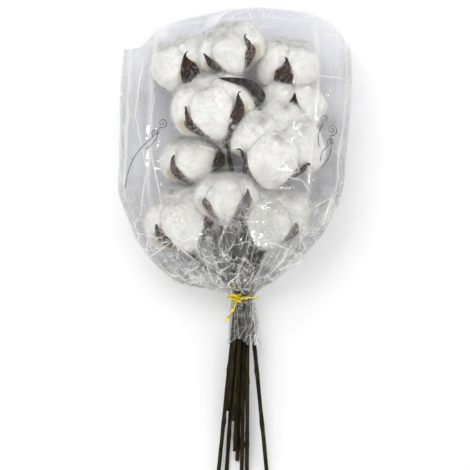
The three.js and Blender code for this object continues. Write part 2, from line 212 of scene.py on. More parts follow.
@dataclass
class Skin:
    """A surface as arrays: points, four-sided and three-sided faces, and named values at the points."""

    points: np.ndarray
    quads: np.ndarray
    triangles: np.ndarray
    values: dict[str, np.ndarray]

    @staticmethod
    def of_rings(rings: np.ndarray, values: dict[str, np.ndarray]) -> "Skin":
        """A closed surface over rings of points, with each end drawn together at the middle of its last ring.

        Args:
            rings: shape (rings, points round, 3).
            values: named arrays of shape (rings, points round).

        Returns:
            The skin, with its faces pointing outwards.
        """
        count, around = rings.shape[:2]
        index = np.arange(count * around).reshape(count, around)
        onward = np.roll(index, -1, axis=1)
        quads = np.stack([index[:-1], onward[:-1], onward[1:], index[1:]], axis=-1).reshape(-1, 4)
        first = np.full(around, count * around)
        fans = [
            np.stack([onward[0], index[0], first], axis=-1),
            np.stack([index[-1], onward[-1], first + 1], axis=-1),
        ]
        points = np.vstack([rings.reshape(-1, 3), rings[0].mean(axis=0), rings[-1].mean(axis=0)])
        flat = {k: np.concatenate([v.ravel(), [v[0].mean(), v[-1].mean()]]) for k, v in values.items()}
        return Skin(points, quads, np.vstack(fans), flat).outward()

    @staticmethod
    def of_sheet(grid: np.ndarray, values: dict[str, np.ndarray]) -> "Skin":
        """An open single-layer sheet over a grid of points, shape (rows, columns, 3).

        Args:
            grid: the points.
            values: named arrays of shape (rows, columns).

        Returns:
            The skin.
        """
        rows, columns = grid.shape[:2]
        index = np.arange(rows * columns).reshape(rows, columns)
        quads = np.stack([index[:-1, :-1], index[:-1, 1:], index[1:, 1:], index[1:, :-1]], axis=-1)
        flat = {k: v.ravel() for k, v in values.items()}
        return Skin(grid.reshape(-1, 3), quads.reshape(-1, 4), np.zeros((0, 3), int), flat)

    @staticmethod
    def joined(skins: list["Skin"]) -> "Skin":
        """Several skins as one.

        Args:
            skins: the skins, all with the same named values.

        Returns:
            One skin.
        """
        starts = np.cumsum([0] + [len(s.points) for s in skins[:-1]])
        return Skin(
            np.vstack([s.points for s in skins]),
            np.vstack([s.quads + n for s, n in zip(skins, starts)]),
            np.vstack([s.triangles + n for s, n in zip(skins, starts)]),
            {k: np.concatenate([s.values[k] for s in skins]) for k in skins[0].values},
        )

    def outward(self) -> "Skin":
        """The same closed skin, turned so that its faces point out of the space that it holds.

        Returns:
            This skin.
        """
        p, q, t = self.points - self.points.mean(axis=0), self.quads, self.triangles
        corners = np.vstack([q[:, [0, 1, 2]], q[:, [0, 2, 3]], t])
        held = np.einsum("ij,ij->", p[corners[:, 0]], np.cross(p[corners[:, 1]], p[corners[:, 2]]))
        if held < 0:
            self.quads, self.triangles = q[:, ::-1], t[:, ::-1]
        return self

    def above(self, height: float) -> "Skin":
        """The same skin, with every point that is lower than a height raised to it."""
        self.points[:, 2] = np.maximum(self.points[:, 2], height)
        return self

    def to_object(self, name: str, material: bpy.types.Material) -> bpy.types.Object:
        """The skin as an object at the origin, smooth shaded, with its values as point attributes.

        Args:
            name: the object's name.
            material: what it is made of.

        Returns:
            The object, linked to the scene.
        """
        mesh = bpy.data.meshes.new(name)
        corners = np.concatenate([self.quads.ravel(), self.triangles.ravel()]).astype(np.int32)
        sizes = np.repeat([4, 3], [len(self.quads), len(self.triangles)]).astype(np.int32)
        starts = np.concatenate([[0], np.cumsum(sizes)[:-1]]).astype(np.int32)
        mesh.vertices.add(len(self.points))
        mesh.vertices.foreach_set("co", self.points.astype(np.float32).ravel())
        mesh.loops.add(len(corners))
        mesh.loops.foreach_set("vertex_index", corners)
        mesh.polygons.add(len(sizes))
        mesh.polygons.foreach_set("loop_start", starts)
        mesh.polygons.foreach_set("loop_total", sizes)
        mesh.polygons.foreach_set("use_smooth", np.ones(len(sizes), bool))
        mesh.update(calc_edges=True)
        for key, value in self.values.items():
            mesh.attributes.new(key, "FLOAT", "POINT").data.foreach_set("value", value.astype(np.float32))
        mesh.materials.append(material)
        made = bpy.data.objects.new(name, mesh)
        bpy.context.scene.collection.objects.link(made)
        return made


def tube_along(path: np.ndarray, radius: np.ndarray, values: dict[str, np.ndarray]) -> Skin:
    """A closed tube: at each point of the path, a ring at the given distance in each direction round it.

    Args:
        path: middle line, shape (n, 3).
        radius: distance from the middle line, shape (n, points round).
        values: named arrays of the same shape as radius.

    Returns:
        The tube's skin.
    """
    _, side, up = carried_axes(path)
    angle = angles(radius.shape[1])[..., None]
    round_way = np.cos(angle) * side[:, None] + np.sin(angle) * up[:, None]
    return Skin.of_rings(path[:, None] + radius[..., None] * round_way, values)


def evenly_spread(count: int) -> np.ndarray:
    """Directions spread evenly over a ball, on a spiral that turns by the golden angle at each step.

    Args:
        count: how many directions.

    Returns:
        Unit vectors, shape (count, 3).
    """
    step = np.arange(count) + 0.5
    height = 1 - 2 * step / count
    angle = step * math.pi * (3 - math.sqrt(5))
    ring = np.sqrt(1 - height**2)
    return np.stack([ring * np.cos(angle), ring * np.sin(angle), height], axis=-1)


def node_points(node: str) -> np.ndarray:
    """The different points of a node of the frame.

    Args:
        node: the node's name.

    Returns:
        The points in metres, shape (n, 3).
    """
    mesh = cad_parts[node].data
    flat = np.empty(len(mesh.vertices) * 3, np.float32)
    mesh.vertices.foreach_get("co", flat)
    return np.unique(np.round(flat.reshape(-1, 3).astype(float), 6), axis=0)


# ---- Finishes ----


class Paint:
    """A material's node tree, with short ways to add nodes and join them."""

    def __init__(self, name: str) -> None:
        """Starts a material with one Principled shader."""
        self.material = bpy.data.materials.new(name)
        self.material.use_nodes = True
        self.tree = self.material.node_tree
        self.shader = next(n for n in self.tree.nodes if n.type == "BSDF_PRINCIPLED")

    def fix(self, **settings: float | tuple) -> None:
        """Sets the shader's own sockets, named with underscores for spaces."""
        for name, value in settings.items():
            self.shader.inputs[name.replace("_", " ")].default_value = value

    def add(self, kind: str, inputs: dict | None = None, **settings: object) -> bpy.types.Node:
        """Adds a node.

        Args:
            kind: the node's type without its ShaderNode prefix.
            inputs: socket names or numbers, with a value or an output socket to join to each.
            settings: the node's own properties.

        Returns:
            The node.
        """
        node = self.tree.nodes.new("ShaderNode" + kind)
        for name, value in settings.items():
            setattr(node, name, value)
        for name, value in (inputs or {}).items():
            self.join(value, node.inputs[name])
        return node

    def join(self, value: object, socket: bpy.types.NodeSocket) -> None:
        """Joins an output to a socket, or sets the socket to a plain value.

        Args:
            value: an output socket, or a plain value.
            socket: the input to join it to.
        """
        if isinstance(value, bpy.types.NodeSocket):
            self.tree.links.new(value, socket)
        else:
            socket.default_value = value

    def drive(self, name: str, value: bpy.types.NodeSocket) -> None:
        """Joins an output to one of the shader's own sockets."""
        self.join(value, self.shader.inputs[name])

    def remap(
        self, value: bpy.types.NodeSocket, start: tuple = (0.0, 1.0), end: tuple = (0.0, 1.0)
    ) -> bpy.types.NodeSocket:
        """A value stretched from one range to another, and held inside it."""
        ranges = dict(zip(("From Min", "From Max", "To Min", "To Max"), (*start, *end)))
        return self.add("MapRange", {"Value": value, **ranges}).outputs[0]

    def place(self, scale: float | tuple = 1.0) -> bpy.types.NodeSocket:
        """Object coordinates, stretched by a scale for each axis.

        Args:
            scale: one number, or one for each axis.

        Returns:
            The coordinates' socket.
        """
        scales = scale if isinstance(scale, tuple) else (scale,) * 3
        here = self.add("TexCoord").outputs["Object"]
        return self.add("Mapping", {"Vector": here, "Scale": scales}).outputs["Vector"]

    def noise(self, scale: float, detail: float = 4.0, stretch: float | tuple = 1.0) -> bpy.types.NodeSocket:
        """Noise from 0 to 1 over Object coordinates; scale counts patches in a metre."""
        inputs = {"Vector": self.place(stretch), "Scale": scale, "Detail": detail}
        return self.add("TexNoise", inputs).outputs["Fac"]

    def value_of(self, name: str) -> bpy.types.NodeSocket:
        """A named point attribute of the piece."""
        return self.add("Attribute", attribute_name=name).outputs["Fac"]

    def ramp(self, value: bpy.types.NodeSocket, stops: list[tuple]) -> bpy.types.NodeSocket:
        """Colours along a value: each stop is a place from 0 to 1 and a colour.

        Args:
            value: the socket to colour.
            stops: the places and colours, in order.

        Returns:
            The colour's socket.
        """
        node = self.add("ValToRGB", {"Fac": value})
        elements = node.color_ramp.elements
        while len(elements) < len(stops):
            elements.new(0.5)
        for element, (place, colour) in zip(elements, stops):
            element.position = place
            element.color = (*colour, 1.0)
        return node.outputs["Color"]

    def math(self, operation: str, *values: object) -> bpy.types.NodeSocket:
        """One step of arithmetic."""
        node = self.add("Math", dict(enumerate(values)), operation=operation)
        return node.outputs[0]

    def mix(self, share: object, first: object, second: object) -> bpy.types.NodeSocket:
        """Two colours mixed.

        Args:
            share: how much of the second, from 0 to 1.
            first: a colour or a socket.
            second: a colour or a socket.

        Returns:
            The mixed colour's socket.
        """
        node = self.add("Mix", data_type="RGBA")
        for socket, value in ((0, share), (6, first), (7, second)):
            value = (*value, 1.0) if isinstance(value, tuple) and len(value) == 3 else value
            self.join(value, node.inputs[socket])
        return node.outputs[2]

    def bump(self, height: bpy.types.NodeSocket, distance: float, strength: float = 1.0) -> None:
        """Gives the shader a bump, in metres from its lowest to its highest."""
        inputs = {"Height": height, "Distance": distance, "Strength": strength}
        self.drive("Normal", self.add("Bump", inputs).outputs["Normal"])


@dataclass(frozen=True)
class LintFinish:
    """Matt white cotton: creamier and darker in its folds between locks as painted shade, creamier where a
    valve dents it, and cream-stained where it sits in the bur and beside the valves.
    """

    white: Colour = (0.92, 0.915, 0.88)
    cream: Colour = (0.78, 0.70, 0.57)
    tan: Colour = (0.55, 0.40, 0.24)

    def material(self) -> bpy.types.Material:
        """Builds the material.

        Returns:
            The material.
        """
        paint = Paint("cotton_lint")
        paint.fix(Roughness=1.0, Specular_IOR_Level=0.12, Sheen_Weight=0.35, Sheen_Roughness=0.6)
        paint.fix(Subsurface_Weight=0.35, Subsurface_Scale=0.004, Subsurface_Radius=(1.0, 0.9, 0.8))
        # depth sets painted shade in the folds between locks, and cream stain low in the bur and beside the
        # valves.
        depth = paint.value_of("depth")
        uneven = paint.math("MULTIPLY_ADD", paint.noise(90.0, 3.0), 0.3, -0.15)
        shade = paint.math("ADD", depth, uneven)
        colour = paint.ramp(shade, [(0.3, self.white), (0.66, self.cream), (0.95, self.tan)])
        paint.drive("Base Color", colour)
        fibres = paint.noise(700.0, 6.0, (1.0, 0.35, 1.0))
        paint.bump(fibres, 0.0006, 0.32)
        return paint.material


@dataclass(frozen=True)
class HuskFinish:
    """Dry husk or leaf: a dark outer face, a pale lining that shows at the rim, and a near-black beak."""

    name: str = "dry_husk"
    dark: Colour = (0.011, 0.006, 0.004)
    brown: Colour = (0.125, 0.038, 0.013)
    rim: Colour = (0.58, 0.38, 0.17)
    lining: Colour = (0.36, 0.22, 0.11)

    def material(self) -> bpy.types.Material:
        """Builds the material.

        Returns:
            The material.
        """
        paint = Paint(self.name)
        paint.fix(Specular_IOR_Level=0.15)
        veins = paint.noise(260.0, 6.0, (1.0, 0.3, 1.0))
        outer = paint.ramp(veins, [(0.38, self.dark), (0.72, self.brown)])
        inner = paint.mix(veins, self.lining, self.brown)
        face = paint.mix(paint.value_of("lining"), outer, inner)
        worn = paint.math("MULTIPLY_ADD", paint.noise(120.0), 0.5, -0.25)
        edge = paint.math("ADD", paint.value_of("rim"), worn)
        sharp = paint.remap(edge, (0.55, 0.8))
        deep = paint.math("MULTIPLY", paint.value_of("tone"), 0.75)
        edged = paint.mix(sharp, paint.mix(deep, face, self.dark), self.rim)
        paint.drive("Base Color", paint.mix(paint.remap(paint.value_of("beak")), edged, self.dark))
        rough = paint.remap(veins, end=(0.5, 0.85))
        paint.drive("Roughness", rough)
        paint.bump(veins, 0.0008, 0.8)
        return paint.material


LEAF = HuskFinish("dry_leaf", dark=(0.007, 0.007, 0.008), brown=(0.17, 0.155, 0.14), rim=(0.42, 0.31, 0.12))


@dataclass(frozen=True)
class BarkFinish:
    """Dark olive-brown bark with long furrows, paler specks and a pale cut face."""

    dark: Colour = (0.006, 0.0045, 0.0018)
    olive: Colour = (0.042, 0.030, 0.009)
    speck: Colour = (0.14, 0.105, 0.04)
    cut: Colour = (0.42, 0.32, 0.18)

    def material(self) -> bpy.types.Material:
        """Builds the material.

        Returns:
            The material.
        """
        paint = Paint("stem_bark")
        paint.fix(Specular_IOR_Level=0.12)
        furrows = paint.noise(420.0, 5.0, (1.0, 0.12, 1.0))
        base = paint.ramp(furrows, [(0.35, self.dark), (0.7, self.olive)])
        specks = paint.remap(paint.noise(900.0, 2.0), (0.66, 0.74))
        speckled = paint.mix(specks, base, self.speck)
        paint.drive("Base Color", paint.mix(paint.value_of("cut"), speckled, self.cut))
        rough = paint.remap(furrows, end=(0.45, 0.8))
        paint.drive("Roughness", rough)
        paint.bump(furrows, 0.0006, 0.9)
        return paint.material


@dataclass(frozen=True)
class FilmFinish:
    """Thin glossy film: clear, milkier where it is crumpled, with painted reflections as darker, milkier
    cells, and painted white glints along its sharp creases.
    """

    name: str
    tint: Colour
    haze: float
    crumpled_haze: float
    glance: float
    metal: float
    roughness: float
    # The colour of the painted glints.
    white: Colour = (0.97, 0.97, 0.97)
    # Painted dark reflection, mixed into some cells of crumpled film.
    dark_reflection: Colour = (0.56, 0.57, 0.52)
    stretch: tuple = (1.0, 0.8, 0.6)
    # Nets of painted glint lines: cells in a metre, half width of a line in cells, and the least noise that
    # shows a line.
    glint_shards: tuple = ((38.0, 0.016, 0.5), (80.0, 0.026, 0.5), (160.0, 0.05, 0.5))

    def material(self) -> bpy.types.Material:
        """Builds the material.

        Returns:
            The material.
        """
        paint = Paint(self.name)
        paint.fix(Roughness=self.roughness, Specular_IOR_Level=1.0)
        crumple = paint.value_of("crumple")
        # Painted glints: white, opaque lines from the crease attribute and from the nets of shard lines,
        # standing in for light caught by the crumpled film.
        lines = [paint.value_of("crease_glints")]
        for cells, thin, least in self.glint_shards:
            net = {"Vector": paint.place(self.stretch), "Scale": cells}
            edge = paint.add("TexVoronoi", net, feature="DISTANCE_TO_EDGE").outputs["Distance"]
            line = paint.remap(edge, (thin, 0.0))
            shown = paint.remap(paint.noise(cells * 1.1, 2.0), (least, least + 0.08))
            lines.append(paint.math("MULTIPLY", paint.math("MULTIPLY", line, shown), crumple))
        crease_glints = lines[0]
        for line in lines[1:]:
            crease_glints = paint.math("MAXIMUM", crease_glints, line)
        # Painted reflections: each cell of the shard nets gets a random tone; cells with a high tone on
        # crumpled film are drawn milkier and darker, as mirrors of dark surroundings.
        tone = 0.0
        for channel, weight in enumerate((0.6, 0.4)):
            net = {"Vector": paint.place(self.stretch), "Scale": self.glint_shards[channel][0]}
            colour = paint.add("TexVoronoi", net, feature="F1").outputs["Color"]
            level = paint.add("SeparateColor", {"Color": colour}).outputs[channel]
            tone = paint.math("MULTIPLY_ADD", level, weight, tone)
        patch = paint.math("MULTIPLY_ADD", paint.math("POWER", tone, 3.0), 3.2, 0.06)
        milky = paint.math("MULTIPLY", crumple, patch)
        body = paint.math("MULTIPLY_ADD", milky, self.crumpled_haze, self.haze)
        facing = paint.add("LayerWeight", {"Blend": 0.35}).outputs["Facing"]
        glance = paint.math("MULTIPLY_ADD", paint.math("POWER", facing, 2.5), self.glance, body)
        clear = paint.math("MINIMUM", paint.math("MULTIPLY_ADD", crease_glints, 0.85, glance), 1.0)
        paint.drive("Alpha", clear)
        # Painted dark reflections on the crumpled cells with a high tone.
        dark_reflection_share = paint.remap(tone, (0.35, 0.75))
        shaded = paint.mix(paint.math("MULTIPLY", dark_reflection_share, crumple), self.tint, self.dark_reflection)
        # The painted glints are drawn white over the film's colour.
        paint.drive("Base Color", paint.mix(crease_glints, shaded, self.white))
        plain = paint.math("SUBTRACT", 1.0, crease_glints)
        paint.drive("Metallic", paint.math("MULTIPLY", plain, self.metal))
        paint.bump(paint.noise(90.0, 1.0), 0.0006, 0.3)
        return paint.material


CLEAR_FILM = FilmFinish(
    "clear_film", (0.93, 0.93, 0.89), haze=0.018, crumpled_haze=0.27, glance=0.3, metal=0.6, roughness=0.05
)
FROSTED_FILM = FilmFinish(
    "frosted_film", (0.83, 0.835, 0.92), haze=0.6, crumpled_haze=0.1, glance=0.2, metal=0.1, roughness=0.2
)


@dataclass(frozen=True)
class InkFinish:
    """Dark grey ink, thinner in places."""

    dark: Colour = (0.06, 0.06, 0.065)
    thin: Colour = (0.22, 0.22, 0.23)

    def material(self) -> bpy.types.Material:
        """Builds the material.

        Returns:
            The material.
        """
        paint = Paint("printed_ink")
        paint.fix(Roughness=0.5)
        paint.drive("Base Color", paint.ramp(paint.noise(300.0), [(0.4, self.dark), (0.6, self.thin)]))
        return paint.material


@dataclass(frozen=True)
class FoilFinish:
    """Gold foil over a wire, with fine crinkles, and painted shade and dark reflections in their hollows."""

    gold: Colour = (1.0, 0.80, 0.05)
    # The dark colour is painted shade and dark reflection in the crinkles' hollows.
    worn: Colour = (0.16, 0.11, 0.012)

    def material(self) -> bpy.types.Material:
        """Builds the material.

        Returns:
            The material.
        """
        paint = Paint("gold_foil")
        paint.fix(Metallic=0.55, Specular_IOR_Level=0.8)
        crinkle = paint.noise(520.0, 3.0)
        # Painted shade and dark reflections where the crinkle noise is low, where the bump is lowest too.
        paint.drive("Base Color", paint.ramp(crinkle, [(0.38, self.worn), (0.46, self.gold)]))
        rough = paint.remap(crinkle, end=(0.18, 0.42))
        paint.drive("Roughness", rough)
        paint.bump(crinkle, 0.0004, 0.8)
        return paint.material


@dataclass(frozen=True)
class FloorFinish:
    """A plain pale floor."""

    white: Colour = (0.97, 0.97, 0.97)

    def material(self) -> bpy.types.Material:
        """Builds the material.

        Returns:
            The material.
        """
        paint = Paint("pale_floor")
        paint.fix(Base_Color=(*self.white, 1.0), Roughness=0.9, Specular_IOR_Level=0.0)
        return paint.material


# ---- The bolls ----


@dataclass(frozen=True)
class BollPlace:
    """Where one boll is: the foot of its bur, its axis, the way its first valve points, and its size."""

    foot: np.ndarray
    axis: np.ndarray
    side: np.ndarray
    size: float

    TIP_HEIGHT = 31 * MM
    LOCK_HEIGHT = 19 * MM
    RING_GAP = 9 * MM  # between a valve's last two sections
    SECTION_POINTS = 4 * LOCKS

    @classmethod
    def measured(cls, name: str) -> "BollPlace":
        """Reads a boll's place from its bur.

        The means of the valves' tips and of the sections before them lie on the axis, and the tips'
        directions, taken round in quarters, give the turn. Starts from many directions, each brought to rest,
        and keeps the one whose tips stand most nearly at one height, round the middle of the boll's locks.

        Args:
            name: the boll's name, which its nodes' names begin with.

        Returns:
            The boll's place.
        """
        bur = node_points(f"{name}_bur_and_stem")
        boxes = [np.array(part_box(f"{name}_lock_{k + 1}")) for k in range(LOCKS)]
        middle = np.mean(boxes, axis=(0, 1))
        best = (math.inf, None, None, None)
        for start in evenly_spread(240):
            axis = start
            for _ in range(5):
                highest = bur[np.argsort(-(bur @ axis))]
                tips = highest[: cls.SECTION_POINTS]
                before = highest[cls.SECTION_POINTS : 2 * cls.SECTION_POINTS]
                step = tips.mean(axis=0) - before.mean(axis=0)
                axis = unit(step)
            uneven = np.ptp(tips @ axis) + np.ptp(before @ axis)
            reached = tips.mean(axis=0) - step * (cls.TIP_HEIGHT - cls.LOCK_HEIGHT) / cls.RING_GAP
            score = uneven + 0.3 * np.linalg.norm(reached - middle)
            best = min(best, (score, axis, step, tips), key=lambda b: b[0])
        _, axis, step, tips = best
        size = float(np.linalg.norm(step) / cls.RING_GAP)
        first = unit(np.cross(axis, [0.3, 0.5, 1.0]))
        second = np.cross(axis, first)
        out = tips - tips.mean(axis=0)
        angle = np.arctan2(out @ second, out @ first)
        turn = np.angle(np.exp(1j * LOCKS * angle).mean()) / LOCKS
        side = math.cos(turn) * first + math.sin(turn) * second
        return cls(tips.mean(axis=0) - axis * cls.TIP_HEIGHT * size, axis, side, size)

    @property
    def basis(self) -> np.ndarray:
        """The boll's own axes, as rows: its first valve is at +X, and its axis runs along +Z."""
        return np.stack([self.side, np.cross(self.axis, self.side), self.axis])

    def world(self, local: np.ndarray) -> np.ndarray:
        """Points of the boll's own frame, in the object's frame."""
        return self.foot + self.size * (local @ self.basis)

    def local(self, world: np.ndarray) -> np.ndarray:
        """Points in the boll's own frame."""
        return (world - self.foot) @ self.basis.T / self.size


# Down the middle of a valve, from foot to beak: distance from the axis, height, half width.
VALVE_LINE = np.array(
    [
        [3.0, 1.4, 2.8],
        [12.5, 4.4, 8.2],
        [20.8, 11.4, 10.4],
        [25.4, 19.6, 9.0],
        [27.2, 25.8, 4.2],
        [28.8, 30.6, 1.5],
        [30.6, 33.4, 0.9],
        [32.8, 34.4, 0.4],
    ]
) * MM


@dataclass
class Lint:
    """The four locks of a boll: soft eggs, creased where they meet and dented by the valves, with fibres."""

    reach: float = 12.6 * MM
    height: float = 20.0 * MM
    radial: float = 16.6 * MM
    side: float = 18.4 * MM
    above: float = 20.5 * MM
    below: float = 17.0 * MM
    rings: int = 44
    around: int = 64
    fibres: int = 2700
    fibre_length: float = 8.0 * MM
    fibre_radius: float = 0.07 * MM
    lumps: float = 0.11  # how far the big lumps stand out, as a share of the egg's radius
    small_lumps: float = 0.03
    lock_blend: float = 1.6 * MM  # rounding of the edge where two locks meet
    valve_blend: float = 2.0 * MM  # rounding of the dent that a valve makes
    valve_gap: float = 1.2 * MM
    valve_top: float = 29 * MM  # above this height the lint swells out over the valves

    def surface(self, quarter: int, seed: int) -> tuple[np.ndarray, np.ndarray]:
        """One lock's surface in its boll's frame, and at each point a value from 0 to 1 for its painted shade
        in folds and its stain near the bur.

        The point at height angle a and side angle b is on an egg, pushed in and out by soft noise. Its
        distance off the lock's middle plane is held inside the lock's quarter, and its distance from the axis
        is held inside the two valves beside it, both by a smooth minimum.

        Args:
            quarter: which quarter of the boll the lock fills, from 0.
            seed: chooses another pattern.

        Returns:
            The points, shape (rings, points round, 3), and the value for painted shade and stain at each.
        """
        a = np.linspace(0.02, math.pi - 0.02, self.rings)[:, None]
        b = angles(self.around)
        ball = np.stack([np.sin(a) * np.cos(b), np.sin(a) * np.sin(b), np.cos(a) * np.ones_like(b)], axis=-1)
        lumps = 1 + self.lumps * lattice_noise(ball * 1.4 + seed, seed)
        lumps = lumps + self.small_lumps * layered_noise(ball * 3.4, seed + 9, 2)
        tall = np.where(ball[..., 2] > 0, self.above, self.below)
        egg = ball * np.stack([np.full_like(tall, self.radial), np.full_like(tall, self.side), tall], -1)
        egg = egg * lumps[..., None]
        out, off, up = egg[..., 0] + self.reach, egg[..., 1], egg[..., 2] + self.height
        wall = np.maximum(out, 1 * MM) * 1.02 + 0.4 * MM
        squeezed = np.sign(off) * self.softer(np.abs(off), wall, self.lock_blend)
        # Painted shade: the deeper a point lies in the fold between two locks, the creamier and darker it is
        # drawn.
        depth = smooth_steps(0.0, 5 * MM, np.abs(off) - squeezed * np.sign(off))
        angle = np.arctan2(squeezed, out)
        distance = np.hypot(squeezed, out)
        to_valve = math.pi / LOCKS - np.abs(angle)
        line = [np.interp(up, VALVE_LINE[:, 1], VALVE_LINE[:, k]) for k in (0, 2)]
        beside = np.maximum(distance * np.sin(to_valve) - line[1] * 0.8, 0)
        limit = line[0] - self.valve_gap + 1.5 * beside + np.where(up > self.valve_top, 4 * MM, 0)
        held = self.softer(distance, limit, self.valve_blend)
        # Creamier where a valve dents the lint.
        depth = np.maximum(depth, 0.7 * smooth_steps(0.4 * MM, 4 * MM, distance - held))
        # Cream stain low down, where the lint sits in the bur, and beside the valves.
        depth = np.maximum(depth, 0.8 * (1 - smooth_steps(3 * MM, 11 * MM, up)))
        near = 1 - smooth_steps(0.0, 4.5 * MM, distance * np.sin(np.maximum(to_valve, 0)) - line[1])
        depth = np.maximum(depth, 0.72 * near * (1 - smooth_steps(22 * MM, 30 * MM, up)))
        turned = angle + (quarter + 0.5) * TURN / LOCKS
        return np.stack([held * np.cos(turned), held * np.sin(turned), up], axis=-1), depth

    @staticmethod
    def softer(value: np.ndarray, limit: np.ndarray, blend: float) -> np.ndarray:
        """The smaller of value and limit, rounded over a distance of blend."""
        share = np.clip(0.5 + 0.5 * (limit - value) / blend, 0, 1)
        return limit + (value - limit) * share - blend * share * (1 - share)

    def loose_fibres(self, rings: np.ndarray, depth: np.ndarray, rng: np.random.Generator) -> Skin:
        """Fine curved needles over a lock: each has three points at its root, three at its bend, and a tip.

        A fibre leaves the surface in a direction that leans along it, and bends further over at its middle.

        Args:
            rings: the lock's points.
            depth: the value for painted shade in folds and stain near the bur at each of them.
            rng: picks the fibres.

        Returns:
            The fibres' skin.
        """
        pick = rng.integers(0, rings.shape[0] * rings.shape[1], self.fibres)
        across = np.gradient(rings, axis=0).reshape(-1, 3)[pick]
        round_way = (np.roll(rings, -1, axis=1) - np.roll(rings, 1, axis=1)).reshape(-1, 3)[pick]
        away = rings.reshape(-1, 3) - rings.reshape(-1, 3).mean(axis=0)
        normal = unit(np.cross(across, round_way))
        normal = normal * np.sign(np.einsum("ij,ij->i", normal, away[pick]))[:, None]
        root = rings.reshape(-1, 3)[pick] + rng.normal(0, 0.5 * MM, (self.fibres, 3))
        lean = unit(rng.normal(0, 1, (self.fibres, 3)))
        lean = unit(lean - normal * np.einsum("ij,ij->i", lean, normal)[:, None])
        length = (self.fibre_length * rng.uniform(0.45, 1.25, self.fibres))[:, None]
        rise = rng.uniform(0.12, 0.6, self.fibres)[:, None]
        bend = root + length * 0.5 * unit(lean + rise * normal)
        stray = unit(rng.normal(0, 1, (self.fibres, 3)))
        tip = bend + length * 0.5 * unit(lean + 0.6 * stray + 0.2 * rise * normal)
        other = np.cross(lean, normal)
        thirds = (0.0, TURN / 3, 2 * TURN / 3)
        ring = [math.cos(t) * normal[:, None] + math.sin(t) * other[:, None] for t in thirds]
        corners = np.concatenate(ring, axis=1)
        low = (root - 0.6 * MM * normal)[:, None] + self.fibre_radius * 1.3 * corners
        middle = bend[:, None] + self.fibre_radius * corners
        points = np.concatenate([low, middle, tip[:, None]], axis=1).reshape(-1, 3)
        start = (np.arange(self.fibres) * 7)[:, None]
        quads = np.array([[0, 1, 4, 3], [1, 2, 5, 4], [2, 0, 3, 5]])
        triangles = np.array([[3, 4, 6], [4, 5, 6], [5, 3, 6], [2, 1, 0]])
        # Each fibre takes a share of its root's painted shade and stain.
        shade = np.repeat(depth.ravel()[pick] * 0.3, 7)
        return Skin(
            points,
            (start[:, None] + quads).reshape(-1, 4),
            (start[:, None] + triangles).reshape(-1, 3),
            {"depth": shade},
        )

    def build(self, name: str, place: BollPlace, seed: int, material: bpy.types.Material) -> None:
        """Makes the four locks, each in the place of its own node.

        Args:
            name: the boll's name, which its nodes' names begin with.
            place: where the boll is.
            seed: chooses another pattern.
            material: what the piece is made of.
        """
        rng = np.random.default_rng(seed)
        for k in range(LOCKS):
            node = f"{name}_lock_{k + 1}"
            middle = place.local(node_points(node).mean(axis=0))
            quarter = int(math.floor((math.atan2(middle[1], middle[0]) % TURN) / (TURN / LOCKS)))
            rings, depth = self.surface(quarter, seed * 10 + k)
            rings = place.world(rings)
            rings[..., 2] = np.maximum(rings[..., 2], 1.2 * MM)
            skin = Skin.joined([Skin.of_rings(rings, {"depth": depth}), self.loose_fibres(rings, depth, rng)])
            piece = skin.above(0.6 * MM).to_object(f"{name}_lint_{k + 1}", material)
            place_piece(piece, node)


